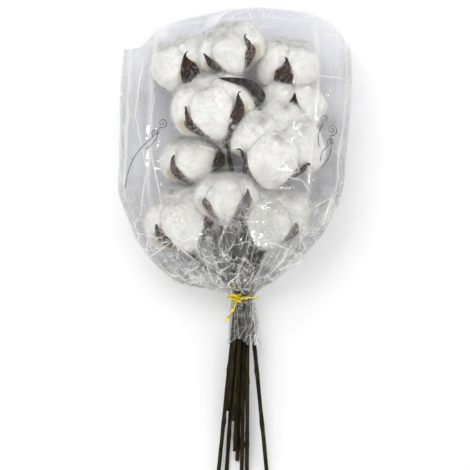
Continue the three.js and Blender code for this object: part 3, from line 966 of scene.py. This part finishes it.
@dataclass
class Bur:
    """The woody bur of a boll: a shallow cup and four pointed valves with pale rims and curled beaks."""

    thickness: float = 1.3 * MM
    keel: float = 0.35 * MM
    ripple: float = 0.7 * MM
    lean: float = 5 * MM
    tuck: float = 0.42  # share of a valve's distance from the axis that tucking takes away
    along: int = 46
    around: int = 28
    # Down the cup's outside, over its lip and into it: radius and height, in millimetres.
    cup_profile: tuple = (
        (2.1, -7.0),
        (2.7, -5.0),
        (4.2, -2.5),
        (6.2, 0.4),
        (7.4, 3.2),
        (6.6, 3.6),
        (3.0, 1.8),
        (0.6, 1.6),
    )

    def valve(self, angle: float, tucked: float, rng: np.random.Generator, seed: int) -> Skin:
        """One valve: a lens-shaped section carried up the valve's line.

        At share t along and angle p round the section, the point is the line's, plus its half width times the
        cosine of p across, plus half its thickness times the sine of p outwards. The section is bowed round
        the lint, its rims turn outwards, and the beak leans to one side.

        Args:
            angle: the valve's direction round the boll.
            tucked: how far its upper half is pressed in, from 0 to 1.
            rng: gives the valve its own width, lean and tone.
            seed: chooses its ripples.

        Returns:
            The valve's skin, in the boll's frame.
        """
        t = np.linspace(0, 1, self.along)
        line = curve_through(VALVE_LINE, t)
        distance, up, half = line.T
        distance = distance * (1 - self.tuck * tucked * smooth_steps(0.35, 0.9, t))
        out_up = unit(np.stack([np.gradient(distance), np.gradient(up)], axis=-1))
        outward = np.stack([out_up[:, 1], -out_up[:, 0]], axis=-1)
        p = angles(self.around)
        across, face = np.cos(p), np.sin(p)
        wide = rng.uniform(0.88, 1.12)
        width = np.maximum(half * wide, 0.3 * MM)[:, None] * (1 + 0.05 * np.sin(9 * t + seed))[:, None]
        thick = 0.5 * self.thickness * (1 - 0.55 * t)[:, None] * (1 - 0.75 * across**4)
        bow = -0.32 * width * across**2 + 0.16 * width * np.maximum(np.abs(across) - 0.7, 0) / 0.3
        keel = self.keel * np.exp(-((across / 0.12) ** 2)) * (face > 0) * (1 - t)[:, None]
        at = np.stack(np.broadcast_arrays(3 * t[:, None], 2 * across, seed), axis=-1)
        wave = self.ripple * lattice_noise(at, seed)
        lift = face * thick + bow + keel + wave * np.sin(math.pi * t)[:, None]
        lean = rng.uniform(-1, 1) * self.lean * smooth_steps(0.62, 1.0, t)[:, None] ** 1.5
        x = distance[:, None] + outward[:, :1] * lift
        y = across * width + lean + rng.uniform(-1, 1) * MM * np.sin(math.pi * t)[:, None]
        z = up[:, None] + outward[:, 1:] * lift
        turned = angle + rng.uniform(-0.05, 0.05)
        c, s = math.cos(turned), math.sin(turned)
        points = np.stack([x * c - y * s, x * s + y * c, z], axis=-1)
        values = {
            "rim": np.abs(across) ** 3 * (1 - smooth_steps(0.72, 0.9, t))[:, None],
            "lining": np.broadcast_to((face < -0.05) * 1.0, x.shape),
            "beak": smooth_steps(0.6, 0.76, t)[:, None],
            "tone": np.full((1, 1), rng.uniform(0, 1)),
        }
        return Skin.of_rings(points, {k: np.broadcast_to(v, x.shape) for k, v in values.items()})

    def cup(self, seed: int) -> Skin:
        """The cup under the valves: a turned profile with five soft lobes at its lip.

        Args:
            seed: turns the lobes.

        Returns:
            The cup's skin, in the boll's frame.
        """
        line = curve_through(self.cup_profile, np.linspace(0, 1, 26)) * MM
        p = angles(40)
        lobes = np.sin(5 * p + seed) * smooth_steps(0, 4 * MM, line[:, 1])[:, None]
        radius = line[:, :1] * (1 + 0.07 * lobes)
        points = np.stack([radius * np.cos(p), radius * np.sin(p), line[:, 1:] + 0.6 * MM * lobes], axis=-1)
        blank = np.zeros(radius.shape)
        values = {"rim": blank, "lining": blank, "beak": blank + 0.25, "tone": blank + 0.5}
        return Skin.of_rings(points, values)

    def build(self, name: str, place: BollPlace, seed: int, material: bpy.types.Material) -> None:
        """Makes the cup and its valves as one piece.

        Args:
            name: the boll's name, which its nodes' names begin with.
            place: where the boll is.
            seed: chooses another pattern.
            material: what the piece is made of.
        """
        rng = np.random.default_rng(seed + 500)
        turns = np.arange(LOCKS) * TURN / LOCKS
        round_way = np.stack([np.cos(turns), np.sin(turns), 0 * turns], axis=-1)
        outwards = (round_way @ place.basis)[:, 0] * np.sign(place.foot[0])
        tucked = smooth_steps(0.5, 0.8, outwards)
        valves = [self.valve(turns[k], tucked[k], rng, seed * 7 + k) for k in range(LOCKS)]
        skin = Skin.joined([self.cup(seed), *valves])
        skin.points = place.world(skin.points)
        piece = skin.above(0.4 * MM).to_object(f"{name}_bur", material)
        place_piece(piece, f"{name}_bur_and_stem")


@dataclass
class Bract:
    """A dry leaf at the foot of a boll: its spine in millimetres from the boll's foot, and its half width."""

    name: str
    boll: str
    spine: tuple
    half_width: float
    thickness: float = 0.8 * MM
    along: int = 50
    around: int = 20

    def build(self, place: BollPlace, seed: int, material: bpy.types.Material) -> None:
        """Makes the leaf: a lens-shaped section, cupped along its spine, that grows and shrinks to a point.

        At share t along and angle p round, the half width is the leaf's times sin(pi t^0.8)^0.8. The cosine
        of p goes across, and the section's rims are lowered by a share of its square. Ribs run along it.

        Args:
            place: where the leaf's boll is.
            seed: chooses another pattern.
            material: what the leaf is made of.
        """
        t = np.linspace(0, 1, self.along)
        path = evenly(place.foot + np.array(self.spine) * MM, self.along)
        forward = unit(np.gradient(path, axis=0))
        side = unit(np.cross(forward, [0.15, 0.1, 1.0]))
        up = np.cross(side, forward)
        p = angles(self.around)
        across, face = np.cos(p), np.sin(p)
        ragged = 1 + 0.16 * lattice_noise(np.stack([9 * t, 0 * t + seed, 0 * t], -1), seed)
        grow = np.sin(math.pi * np.clip(t, 0.02, 0.985) ** 0.8) ** 0.8 * ragged
        width = self.half_width * np.maximum(grow, 0.06)[:, None]
        wave = 0.25 * width * np.sin(6 * t + seed)[:, None] * across
        rib = np.cos(4.5 * math.pi * across)
        ribs = 0.05 * width * rib
        thick = 0.5 * self.thickness * face * (1 - 0.7 * across**4)
        lift = thick - 0.35 * width * across**2 + wave + ribs
        points = path[:, None] + (width * across)[..., None] * side[:, None] + lift[..., None] * up[:, None]
        shape = points.shape[:2]
        values = {
            "rim": 0.8 * np.abs(across) ** 5 * np.ones(shape),
            "lining": (face < 0) * np.ones(shape),
            "beak": np.broadcast_to(smooth_steps(0.75, 0.95, t)[:, None], shape),
            "tone": 0.75 + 0.25 * rib * np.ones(shape),
        }
        place_piece(Skin.of_rings(points, values).to_object(self.name, material))


LOW_BOLL = "lower_middle"
BRACTS = (
    Bract("bract_top", "top", ((24, -27, -6), (18, -21, 16), (6, -13, 34), (-17, -9, 37)), 5.4 * MM),
    Bract("bract_left", LOW_BOLL, ((4, -52, -30), (-3, -36, -17), (-10, -18, -6), (-15, -2, -1)), 5.0 * MM),
    Bract("bract_right", LOW_BOLL, ((10, -52, -31), (12, -36, -18), (14, -20, -6), (18, -4, 3)), 4.2 * MM),
    Bract("bract_middle", LOW_BOLL, ((7, -54, -31), (3, -38, -16), (1, -24, -6)), 3.4 * MM),
)


@dataclass
class Stem:
    """A cut woody stem: a furrowed tube that follows its node, with swellings where leaves grew."""

    radius: float = 1.8 * MM
    around: int = 20
    step: float = 2.2 * MM
    ring_points: int = 6
    ring_gap: float = 4.5 * MM
    first_scar: float = 35 * MM
    scar_gap: float = 47 * MM
    scar_width: float = 3 * MM

    def route(self, name: str, place: BollPlace) -> np.ndarray:
        """The node's middle line: its points below the cup, sorted along the bunch, averaged ring by ring.

        Args:
            name: the boll's name.
            place: where the boll is.

        Returns:
            Points down the stem from the cup, shape (n, 3).
        """
        points = node_points(f"{name}_bur_and_stem")
        below = points[place.local(points)[:, 2] < -5 * MM]
        ordered = below[np.argsort(-below[:, 1])]
        breaks = np.flatnonzero(-np.diff(ordered[:, 1]) > self.ring_gap) + 1
        rings = [ring for ring in np.split(ordered, breaks) if len(ring) >= self.ring_points]
        middles = np.array([ring.mean(axis=0) for ring in rings])
        return np.vstack([place.world(np.array([[0, 0, -1.0], [0, 0, -6.0]]) * MM), middles])

    def build(self, name: str, place: BollPlace, seed: int, material: bpy.types.Material) -> None:
        """Makes the stem: at length s and angle p, its radius has long ridges, and swells where leaves grew.

        Args:
            name: the boll's name, which its nodes' names begin with.
            place: where the boll is.
            seed: chooses another pattern.
            material: what the piece is made of.
        """
        rough = self.route(name, place)
        length = np.linalg.norm(np.diff(rough, axis=0), axis=1).sum()
        count = int(length / self.step)
        path = evenly(rough, count)
        s = np.linspace(0, length, count)[:, None]
        p = angles(self.around)
        rng = np.random.default_rng(seed + 900)
        scars = self.first_scar + np.arange(8) * self.scar_gap + rng.uniform(-8, 8) * MM
        swellings = sum(
            0.2 * np.exp(-(((s - at) / self.scar_width) ** 2)) * (1 + 0.6 * np.cos(p - turn))
            for at, turn in zip(scars, rng.uniform(0, TURN, 8))
        )
        twist = s / (100 * MM)
        ridges = 0.05 * np.sin(5 * p + 9 * twist) + 0.03 * np.sin(9 * p - 14 * twist + seed)
        around = np.stack(np.broadcast_arrays(s / (9 * MM), np.cos(p), np.sin(p)), axis=-1)
        radius = self.radius * (0.96 + swellings + ridges + 0.06 * lattice_noise(around, seed))
        skin = tube_along(path, radius, {"cut": np.zeros_like(radius)})
        skin.values["cut"][-1] = 1.0
        piece = skin.above(0.1 * MM).to_object(f"{name}_stem", material)
        place_piece(piece, f"{name}_bur_and_stem")


def place_piece(piece: bpy.types.Object, node: str | None = None) -> None:
    """Gives a piece its body, and hides the node that it stands for, if it has one.

    Args:
        piece: the piece.
        node: the node's name, or None for a piece that no node stands for.
    """
    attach(piece, "root")
    if node:
        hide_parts(node)
    LOG.info("%s: %d faces, for %s", piece.name, len(piece.data.polygons), node or "no node")


# ---- The sleeve and its tie ----


class Panel(Enum):
    """The two sides of the sleeve."""

    FRONT = 1
    BACK = -1


@dataclass
class Sleeve:
    """The film sleeve: two panels that meet at their sides, gathered at the neck and open at the mouth."""

    # Along the sleeve, as shares of its box: length, left edge, right edge, lowest, highest.
    stations: tuple = (
        (0.000, 0.467, 0.612, 0.036, 0.309),
        (0.068, 0.472, 0.604, 0.073, 0.336),
        (0.129, 0.479, 0.587, 0.147, 0.325),
        (0.148, 0.479, 0.587, 0.147, 0.325),
        (0.165, 0.371, 0.614, 0.109, 0.382),
        (0.184, 0.244, 0.665, 0.036, 0.545),
        (0.255, 0.127, 0.787, 0.005, 0.791),
        (0.330, 0.061, 0.883, 0.000, 0.927),
        (0.442, 0.000, 0.959, 0.000, 0.982),
        (0.578, 0.005, 0.980, 0.000, 1.000),
        (0.714, 0.005, 1.000, 0.000, 0.982),
        (0.850, 0.020, 1.000, 0.000, 0.909),
        (1.000, 0.056, 0.980, 0.000, 0.727),
    )
    squareness: float = 0.8
    mouth_side: float = 0.861
    back_rise: float = 0.139
    # The film's edge at the mouth: the share of the way across, and the share of its rise there.
    mouth_edge: tuple = (
        (0.0, 0.0),
        (0.06, 0.1),
        (0.14, 0.58),
        (0.25, 0.76),
        (0.45, 0.95),
        (0.6, 1.0),
        (0.82, 0.9),
        (0.93, 0.66),
        (1.0, 0.0),
    )
    ragged: float = 0.022  # the most that the skirt's edge is cut back, as a share of the length
    front_rise: float = 0.078
    neck_share: float = 0.139
    rows: int = 320
    columns: int = 300
    inset: float = 0.4 * MM
    flat_width: float = 245 * MM
    flat_length: float = 330 * MM
    folds: tuple = (0.13, 0.27, 0.712, 0.871)  # long upright folds of the front: shares of the way across
    pleats: int = 9
    small_pleats: int = 23
    # Facet sizes: the coarse and the fine net, the long upright facets, the net of painted glint lines along
    # creases, and the painted glints at the top of the back.
    coarse: float = 27 * MM
    fine: float = 11 * MM
    upright: tuple = (9 * MM, 75 * MM)
    crease_glints: tuple = (12 * MM, 13 * MM)
    glint: tuple = (7 * MM, 11 * MM)
    # Width of the painted highlight along the film's edge at the mouth.
    mouth_glint: float = 1.3 * MM
    # Half width of the painted glint lines where the front is pulled over the bolls.
    glint_path_width: float = 0.6 * MM
    # Painted glints along sharp folds where the front is pulled over the bolls, drawn as white lines only:
    # broken lines, in millimetres from the middle.
    glint_paths: tuple = (
        ((-39, 111), (-8, 110), (-1, 90)),
        ((27, 52), (45, 72), (53, 57), (28, 51)),
        ((40, 53), (55, 50), (62, 40)),
        ((66, 28), (80, 36), (75, 14)),
        ((64, 137), (91, 135)),
        ((-30, 78), (-16, 74)),
        ((6, -12), (16, -24), (12, -36)),
        ((-34, 4), (-30, -12), (-20, -20)),
        ((54, 4), (62, -12), (44, -22)),
        ((-75, 155), (-84, 104), (-74, 60), (-80, 20)),
        ((-66, 120), (-72, 84), (-60, 30)),
        ((-76, -16), (-52, 0), (-29, -18), (-44, -28)),
        ((22, 2), (45, -8), (30, -30)),
        ((-6, 18), (-14, -4), (-3, -20)),
        ((-62, -24), (-40, -34), (-20, -38)),
    )

    def edge_of_mouth(self, angle: np.ndarray, panel: Panel) -> np.ndarray:
        """Where the film ends, as a share of the length: lowest at the sides, highest in the middle.

        Args:
            angle: angle across the panel, from 0 at its right edge to pi at its left.
            panel: the side of the sleeve.

        Returns:
            The share, with the shape of angle.
        """
        across = 0.5 + 0.5 * squared(np.cos(angle), self.squareness)
        rise = self.front_rise if panel is Panel.FRONT else self.back_rise
        return self.mouth_side + rise * np.interp(across, *np.array(self.mouth_edge).T)

    def surface(self, panel: Panel) -> tuple[np.ndarray, np.ndarray, np.ndarray]:
        """A panel's points, how crumpled it is at each, and its painted white glints along creases, folds and
        the mouth's edge.

        Across, the angle runs over half a turn, and its cosine and sine, raised to a power, give a soft
        square section. Along, the section's edges follow the stations. Pleats that run into the neck, sharp
        creases and long soft folds then move each point along the panel's normal.

        Args:
            panel: the side of the sleeve.

        Returns:
            The three arrays, rows by columns.
        """
        low, high = (np.array(corner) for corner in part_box("film_sleeve"))
        span = high - low
        u = np.linspace(0, 1, self.columns)[None, :]
        v = np.linspace(0, 1, self.rows)[:, None]
        angle = math.pi * (1 - u)
        along_edge = np.stack([7 * u[0], 0 * u[0] + 0.5, 0 * u[0]], axis=-1)
        uneven = smooth_steps(-0.5, 0.5, lattice_noise(along_edge, 90))
        cut_back = self.ragged * uneven * np.sin(math.pi * u) * (1 - v) ** 12
        share = v * self.edge_of_mouth(angle, panel) + cut_back
        rows = np.array(self.stations)
        even = np.interp(share, rows[:, 0], np.linspace(0, 1, len(rows)))
        sides = curve_through(rows[:, 1:], even)
        left, right, under, over = (sides[..., k] for k in range(4))
        across, rise = (squared(wave, self.squareness) for wave in (np.cos(angle), np.sin(angle)))
        x = low[0] + span[0] * ((left + right) / 2 + (right - left) / 2 * across)
        z = low[2] + span[2] * ((under + over) / 2 + panel.value * (over - under) / 2 * rise)
        y = low[1] + span[1] * share + 0 * x
        flat = np.stack([x, y, z], axis=-1)
        normal = unit(np.cross(np.gradient(flat, axis=1), np.gradient(flat, axis=0))) * panel.value
        lift, crumple, crease_glints = self.wrinkles(flat, share, u, panel)
        seam = np.sin(math.pi * u) ** 0.5
        points = flat + normal * (lift * seam - self.inset)[..., None]
        points[..., 2] = np.maximum(points[..., 2], 0.25 * MM)
        return points, crumple, crease_glints

    def wrinkles(self, flat: np.ndarray, share: np.ndarray, u: np.ndarray, panel: Panel) -> tuple:
        """How far the film moves off its smooth shape, how crumpled it is, and its painted white glints along
        creases, folds and the mouth's edge.

        Sines across that fade away from the neck are the pleats. Crumpling is the height of two nets of
        facets, a coarse and a fine one, laid on a warped copy of the flat film.

        Args:
            flat: the smooth panel's points.
            share: each point's share of the length.
            u: shares of the way across, shape (1, columns).
            panel: the side of the sleeve.

        Returns:
            The three arrays, rows by columns, the first in metres.
        """
        seed = 40 + panel.value
        from_neck = share - self.neck_share
        gathered = np.exp(-((np.maximum(from_neck, 0) / 0.13) ** 1.4)) * smooth_steps(-0.15, -0.02, from_neck)
        skirt = 1 - smooth_steps(-0.03, 0.0, from_neck)
        wide = np.broadcast_to(u, share.shape)
        sway = lattice_noise(np.stack([4 * share, 2 * wide, 0 * share + 0.5], -1), seed)
        big_wave = np.sin(self.pleats * math.pi * u + 1.3 * sway)
        pleats = np.abs(big_wave) - 0.6
        pleats += 0.5 * np.abs(np.sin(self.small_pleats * math.pi * u + 3 * sway)) - 0.25
        neck_room = smooth_steps(0.0, 0.06, np.abs(from_neck))
        narrow = np.exp(-np.maximum(from_neck, 0) / 0.2)
        film = np.stack([wide * self.flat_width * (1 - 0.5 * narrow), share * self.flat_length], axis=-1)
        solid = np.concatenate([film / (38 * MM), np.full((*share.shape, 1), 0.5)], axis=-1)
        warp = np.stack([layered_noise(solid + 7 * k, seed + k, 2) for k in range(2)], axis=-1)
        turned = film @ np.array([[0.8, 0.6], [-0.6, 0.8]])
        coarse, long_lines = facets(turned / self.coarse + 0.55 * warp, seed)
        fine, short_lines = facets(film / self.fine + 0.4 * warp, seed + 5)
        upper, tall_lines = facets(film / np.array(self.upright) + 0.5 * warp, seed + 11)
        low_down = 1 - smooth_steps(0.22, 0.56, share)
        free = smooth_steps(0.0, 0.1, np.abs(from_neck))
        beside = 1 - smooth_steps(0.03, 0.24, np.minimum(u, 1 - u))
        rumple = (1.2 + 2.6 * low_down) * coarse + (0.2 + 1.7 * low_down) * fine
        rumple = rumple + (0.6 + 1.4 * beside) * (1 - low_down) * upper
        folds = self.folds if panel is Panel.FRONT else ()
        upright = sum(np.exp(-(((u - at - 0.02 * sway) / 0.012) ** 2)) for at in folds)
        upright = upright * smooth_steps(0.32, 0.5, share)
        soft = 1.2 * np.sin(7 * math.pi * u + 3 * sway + 2 * share) * (1 - gathered)
        lift = pleats * (0.5 + 2.4 * neck_room) * np.maximum(gathered, 0.7 * skirt) + rumple * free + soft
        lift = lift - 0.9 * upright
        crumple = np.clip(0.9 * low_down + 0.5 * gathered + 0.5 * skirt + 0.5 * beside + 0.03, 0, 1)
        over_stems = skirt * (1 - smooth_steps(0.5, 0.72, u))
        crumple = crumple * (1 - 0.75 * over_stems)
        to_mouth = (self.edge_of_mouth(math.pi * (1 - u), panel) - share) * self.flat_length
        # Painted glints: white lines along the facets' ridges, along the pleats at the neck and along a loose
        # net of creases, standing in for light caught by the crumpled film.
        patches = smooth_steps(-0.1, 0.5, layered_noise(solid * 1.7, seed + 30, 2) + 0.5 * low_down)
        lines = patches * np.maximum(long_lines * 0.25, short_lines * 0.2 * low_down)
        lines = np.maximum(lines, tall_lines * (1 - low_down) * (0.08 + 0.85 * beside))
        rays = np.exp(-((big_wave / 0.16) ** 2)) * gathered * (0.35 + 0.5 * patches)
        lines = np.maximum(lines, rays)
        _, creases = facets(film / np.array(self.crease_glints) + 0.7 * warp, seed + 23)
        lines = np.maximum(lines, 0.95 * creases * np.clip(1.3 * gathered + skirt, 0, 1))
        # Painted glints at the top of the back, where the film catches the light.
        if panel is Panel.BACK:
            top = np.exp(-(((u - 0.5) / 0.08) ** 4) - ((to_mouth - 11 * MM) / (9 * MM)) ** 4)
            _, glints = facets(film / np.array(self.glint) + 0.7 * warp, seed + 17)
            lines = np.maximum(lines, top * np.maximum(glints, 0.75 * smooth_steps(0.25, 0.32, fine)))
        # Painted highlight along the film's edge at the mouth.
        mouth_glint = 0.55 * np.exp(-((to_mouth / self.mouth_glint) ** 2))
        # Painted glints where the front is pulled over the bolls.
        if panel is Panel.FRONT:
            lines = np.maximum(lines, self.glint_path_lines(flat[..., :2]))
        # Painted glints along the long upright folds, with fewer glints over the stems.
        lines = np.maximum(lines * (1 - 0.25 * over_stems), 0.5 * upright)
        # All the painted glints and the painted highlight at the mouth, as one share of white.
        white = np.clip(np.maximum(lines, mouth_glint), 0, 1)
        return lift * MM, crumple, white

    def glint_path_lines(self, places: np.ndarray) -> np.ndarray:
        """How near each place is to one of the painted glint paths: 1 on it, falling off within a millimetre.

        Args:
            places: X and Y of each point, in metres.

        Returns:
            One number for each point.
        """
        near = np.zeros(places.shape[:-1])
        for line in self.glint_paths:
            for start, end in zip(np.array(line[:-1]) * MM, np.array(line[1:]) * MM):
                way = end - start
                share = np.clip((places - start) @ way / (way @ way), 0, 1)
                away = np.linalg.norm(places - start - share[..., None] * way, axis=-1)
                taper = 0.35 + 0.65 * np.sin(math.pi * (0.1 + 0.8 * share))
                near = np.maximum(near, 0.85 * np.exp(-((away / self.glint_path_width) ** 2)) * taper)
        return near

    def build(self, finishes: dict[Panel, FilmFinish]) -> dict[Panel, np.ndarray]:
        """Makes the two panels.

        Args:
            finishes: the finish of each panel.

        Returns:
            The panels' points, rows by columns.
        """
        grids = {}
        for panel in Panel:
            points, crumple, crease_glints = self.surface(panel)
            values = {"crumple": crumple, "crease_glints": crease_glints}
            grids[panel] = points
            if panel is Panel.BACK:
                points, values = points[:, ::-1], {k: v[:, ::-1] for k, v in values.items()}
            skin = Skin.of_sheet(points, values)
            piece = skin.to_object(f"sleeve_{panel.name.lower()}", finishes[panel].material())
            place_piece(piece, "film_sleeve")
        return grids


@dataclass
class Curls:
    """Printed curls on the front of the film: spirals on stalks, in millimetres from the film's middle."""

    line: float = 0.38 * MM
    # Middle of the spiral, first radius, turns (negative winds the other way), and the stalk's far end.
    left: tuple = (
        ((-60.0, 97.0), 4.2, 1.6, (-74.0, 76.0)),
        ((-66.0, 89.0), 3.2, -1.4, (-92.0, 44.0)),
    )
    right: tuple = (
        ((74.0, 101.0), 3.6, -1.5, (69.0, 78.0)),
        ((80.0, 92.0), 4.6, 1.7, (71.0, 60.0)),
        ((79.0, 82.0), 3.4, -1.4, (70.0, 66.0)),
    )

    def path(self, middle: tuple, radius: float, turns: float, end: tuple) -> np.ndarray:
        """A spiral whose radius falls evenly to a tenth, and a stalk that swings out from it to its end.

        Args:
            middle: the spiral's middle.
            radius: its first radius.
            turns: how often it winds; a negative number winds the other way.
            end: the stalk's far end.

        Returns:
            Points from the spiral's middle outwards, shape (n, 2).
        """
        t = np.linspace(0, 1, 70)
        angle = math.atan2(end[1] - middle[1], end[0] - middle[0]) + TURN * turns * (1 - t)
        reach = radius * (0.1 + 0.9 * t)
        curl = np.stack([middle[0] + reach * np.cos(angle), middle[1] + reach * np.sin(angle)], axis=-1)
        s = np.linspace(0, 1, 40)[1:, None]
        stalk = curl[-1] + (np.array(end) - curl[-1]) * s
        away = np.array([-(end[1] - middle[1]), end[0] - middle[0]]) / 9
        return np.vstack([curl, stalk + away * np.sin(math.pi * s) * np.sign(turns)])

    def build(self, film: np.ndarray, material: bpy.types.Material) -> None:
        """Lays each curl on the film, at the height of the nearest point of its front panel.

        Args:
            film: the front panel's points, rows by columns.
            material: what the curls are made of.
        """
        skins = []
        for curl in (*self.left, *self.right):
            flat = self.path(*curl) * MM
            near = [np.argmin(((film[..., :2] - place) ** 2).sum(axis=-1)) for place in flat]
            height = film[..., 2].ravel()[near]
            smooth = np.convolve(np.pad(height, 4, mode="edge"), np.ones(9) / 9, mode="valid")
            path = np.column_stack([flat, np.maximum(smooth, height) + 0.2 * MM])
            skins.append(tube_along(path, np.full((len(path), 5), self.line), {}))
        piece = Skin.joined(skins).to_object("printed_curls", material)
        place_piece(piece)


@dataclass
class WireTie:
    """The foil-covered wire: once round the neck, a twist in front, and two tails."""

    width: float = 2.5 * MM
    thickness: float = 0.45 * MM
    wire: float = 1.0 * MM
    squareness: float = 0.8
    inset: float = 0.9 * MM
    knot_shift: float = -5.5 * MM
    ring_points: int = 120
    tail_points: int = 60
    long_tail: tuple = ((-1.0, -5.0, 2.2), (-4.0, -11.0, 2.4), (-9.0, -19.5, 1.5))
    short_tail: tuple = ((-2.5, 2.5, 4.0), (-4.5, 3.0, 6.0), (-6.5, 2.0, 7.0))

    def ribbon(self, path: np.ndarray, twist: np.ndarray) -> Skin:
        """A flat ribbon with a round wire in its middle, carried along a path.

        Round the section, the distance from the middle is the ribbon's thin oval with the wire's bulge added
        where the oval is thinnest. The section turns by twist along the path.

        Args:
            path: the ribbon's middle line, shape (n, 3).
            twist: the section's angle at each point.

        Returns:
            The ribbon's skin.
        """
        _, side, up = carried_axes(path)
        p = angles(16)
        wide = 0.5 * self.width * np.cos(p)
        bulge = np.exp(-((np.cos(p) / 0.35) ** 2))
        tall = 0.5 * (self.thickness + self.wire * bulge) * np.sin(p)
        c, s = np.cos(twist)[:, None], np.sin(twist)[:, None]
        across, rise = wide * c - tall * s, wide * s + tall * c
        off = across[..., None] * side[:, None] + rise[..., None] * up[:, None]
        return Skin.of_rings(path[:, None] + off, {})

    def build(self, material: bpy.types.Material) -> None:
        """Makes the band, the twist and the tails round the node's own ring.

        Args:
            material: what the wire is made of.
        """
        points = node_points("gold_wire_tie")
        low, high = points.min(axis=0), points.max(axis=0)
        band_y = points[points[:, 2] < low[2] + 1 * MM, 1].mean()
        centre_z = points[points[:, 0] > high[0] - 1 * MM, 2].mean()
        half = np.array([(high[0] - low[0]) / 2, centre_z - low[2]]) - self.inset
        centre_x = (low[0] + high[0]) / 2
        t = np.linspace(0, TURN, self.ring_points)
        across, rise = (squared(wave, self.squareness) for wave in (np.cos(t), np.sin(t)))
        sag = 0.5 * MM * np.sin(2 * t)
        ring = np.stack([centre_x + half[0] * across, band_y + sag, centre_z + half[1] * rise], axis=-1)
        knot = np.array([centre_x + self.knot_shift, band_y, centre_z + half[1] + 0.5 * MM])
        skins = [self.ribbon(ring[:-1], math.pi / 2 + 0.5 * np.sin(5 * t[:-1]))]
        for tail, turns in ((self.long_tail, 2.2), (self.short_tail, 1.4)):
            path = evenly(np.vstack([knot, knot + np.array(tail) * MM]), self.tail_points)
            skins.append(self.ribbon(path, np.linspace(0, turns * math.pi, self.tail_points)))
        s = np.linspace(0, 1, 40)
        for start in (0.0, math.pi):
            round_way = TURN * s + start
            coil = np.stack([3.0 * np.cos(round_way), 7 * s - 3.5, 1.8 * np.sin(round_way)], axis=-1)
            skins.append(self.ribbon(knot + coil * MM, TURN * s))
        place_piece(Skin.joined(skins).to_object("wire_tie", material), "gold_wire_tie")


# ---- The studio ----


@dataclass
class Studio:
    """A pale floor, soft light from above, narrow strips of light for glints, and the camera overhead."""

    floor_size: float = 6.0
    view_width: float = 0.4024
    view_middle: tuple[float, float] = (-0.0004, 0.0050)
    focus_height: float = 0.035
    lens: float = 150.0
    sensor: float = 36.0
    lit: tuple = (0.0, 0.03, 0.04)
    sky: float = 0.74

    def floor(self) -> None:
        """A flat square of floor."""
        half = self.floor_size / 2
        corners = np.array([[[x, y, 0.0] for x in (-half, half)] for y in (-half, half)])
        Skin.of_sheet(corners, {}).to_object("floor", FloorFinish().material())

    def light(self, name: str, place: tuple, size: tuple, power: float, glints: bool = True) -> None:
        """An oblong area light, aimed at the bunch.

        Args:
            name: the light's name.
            place: where it is.
            size: its width and height in metres.
            power: its power in watts.
            glints: whether it is mirrored in glossy things.
        """
        data = bpy.data.lights.new(name, "AREA")
        data.shape = "RECTANGLE"
        data.size, data.size_y = size
        data.energy = power
        lamp = bpy.data.objects.new(name, data)
        lamp.location = place
        lamp.rotation_euler = (Vector(self.lit) - Vector(place)).to_track_quat("-Z", "Y").to_euler()
        lamp.visible_glossy = glints
        bpy.context.scene.collection.objects.link(lamp)

    def build(self) -> None:
        """Makes the floor, the lights, the world and the camera."""
        self.floor()
        self.light("softbox", (-0.35, 0.75, 1.5), (1.0, 0.8), 9.0, False)
        self.light("fill", (0.9, -0.3, 1.1), (0.8, 0.8), 0.8, False)
        self.light("strip_left", (-0.9, 0.1, 0.9), (0.02, 0.6), 0.7)
        self.light("strip_right", (0.75, 0.25, 1.0), (0.02, 0.5), 0.7)
        self.light("strip_low", (0.1, -0.7, 1.0), (0.5, 0.02), 0.7)
        world = bpy.data.worlds.new("studio")
        world.use_nodes = True
        background = next(n for n in world.node_tree.nodes if n.type == "BACKGROUND")
        background.inputs["Color"].default_value = (1.0, 1.0, 1.0, 1.0)
        background.inputs["Strength"].default_value = self.sky
        bpy.context.scene.world = world
        bpy.context.scene.view_settings.view_transform = "Standard"
        data = bpy.data.cameras.new("camera")
        data.lens = self.lens
        data.sensor_width = self.sensor
        data.clip_end = 20.0
        camera = bpy.data.objects.new("camera", data)
        height = self.focus_height + self.view_width * self.lens / self.sensor
        camera.location = (*self.view_middle, height)
        bpy.context.scene.collection.objects.link(camera)
        bpy.context.scene.camera = camera


def main() -> None:
    """Builds the bunch, its sleeve, its tie and the studio."""
    logging.basicConfig(level=logging.INFO, format="%(message)s")
    lint_material = LintFinish().material()
    husk_material = HuskFinish().material()
    leaf_material = LEAF.material()
    bark_material = BarkFinish().material()
    places = {name: BollPlace.measured(name) for name in BOLL_NAMES}
    for seed, (name, place) in enumerate(places.items(), start=1):
        LOG.info("%s: size %.2f", name, place.size)
        Lint().build(name, place, seed, lint_material)
        Bur().build(name, place, seed, husk_material)
        Stem().build(name, place, seed, bark_material)
    for seed, bract in enumerate(BRACTS, start=1):
        bract.build(places[bract.boll], seed, leaf_material)
    films = Sleeve().build({Panel.FRONT: CLEAR_FILM, Panel.BACK: FROSTED_FILM})
    Curls().build(films[Panel.FRONT], InkFinish().material())
    WireTie().build(FoilFinish().material())
    Studio().build()


if __name__ == "__main__":
    main()
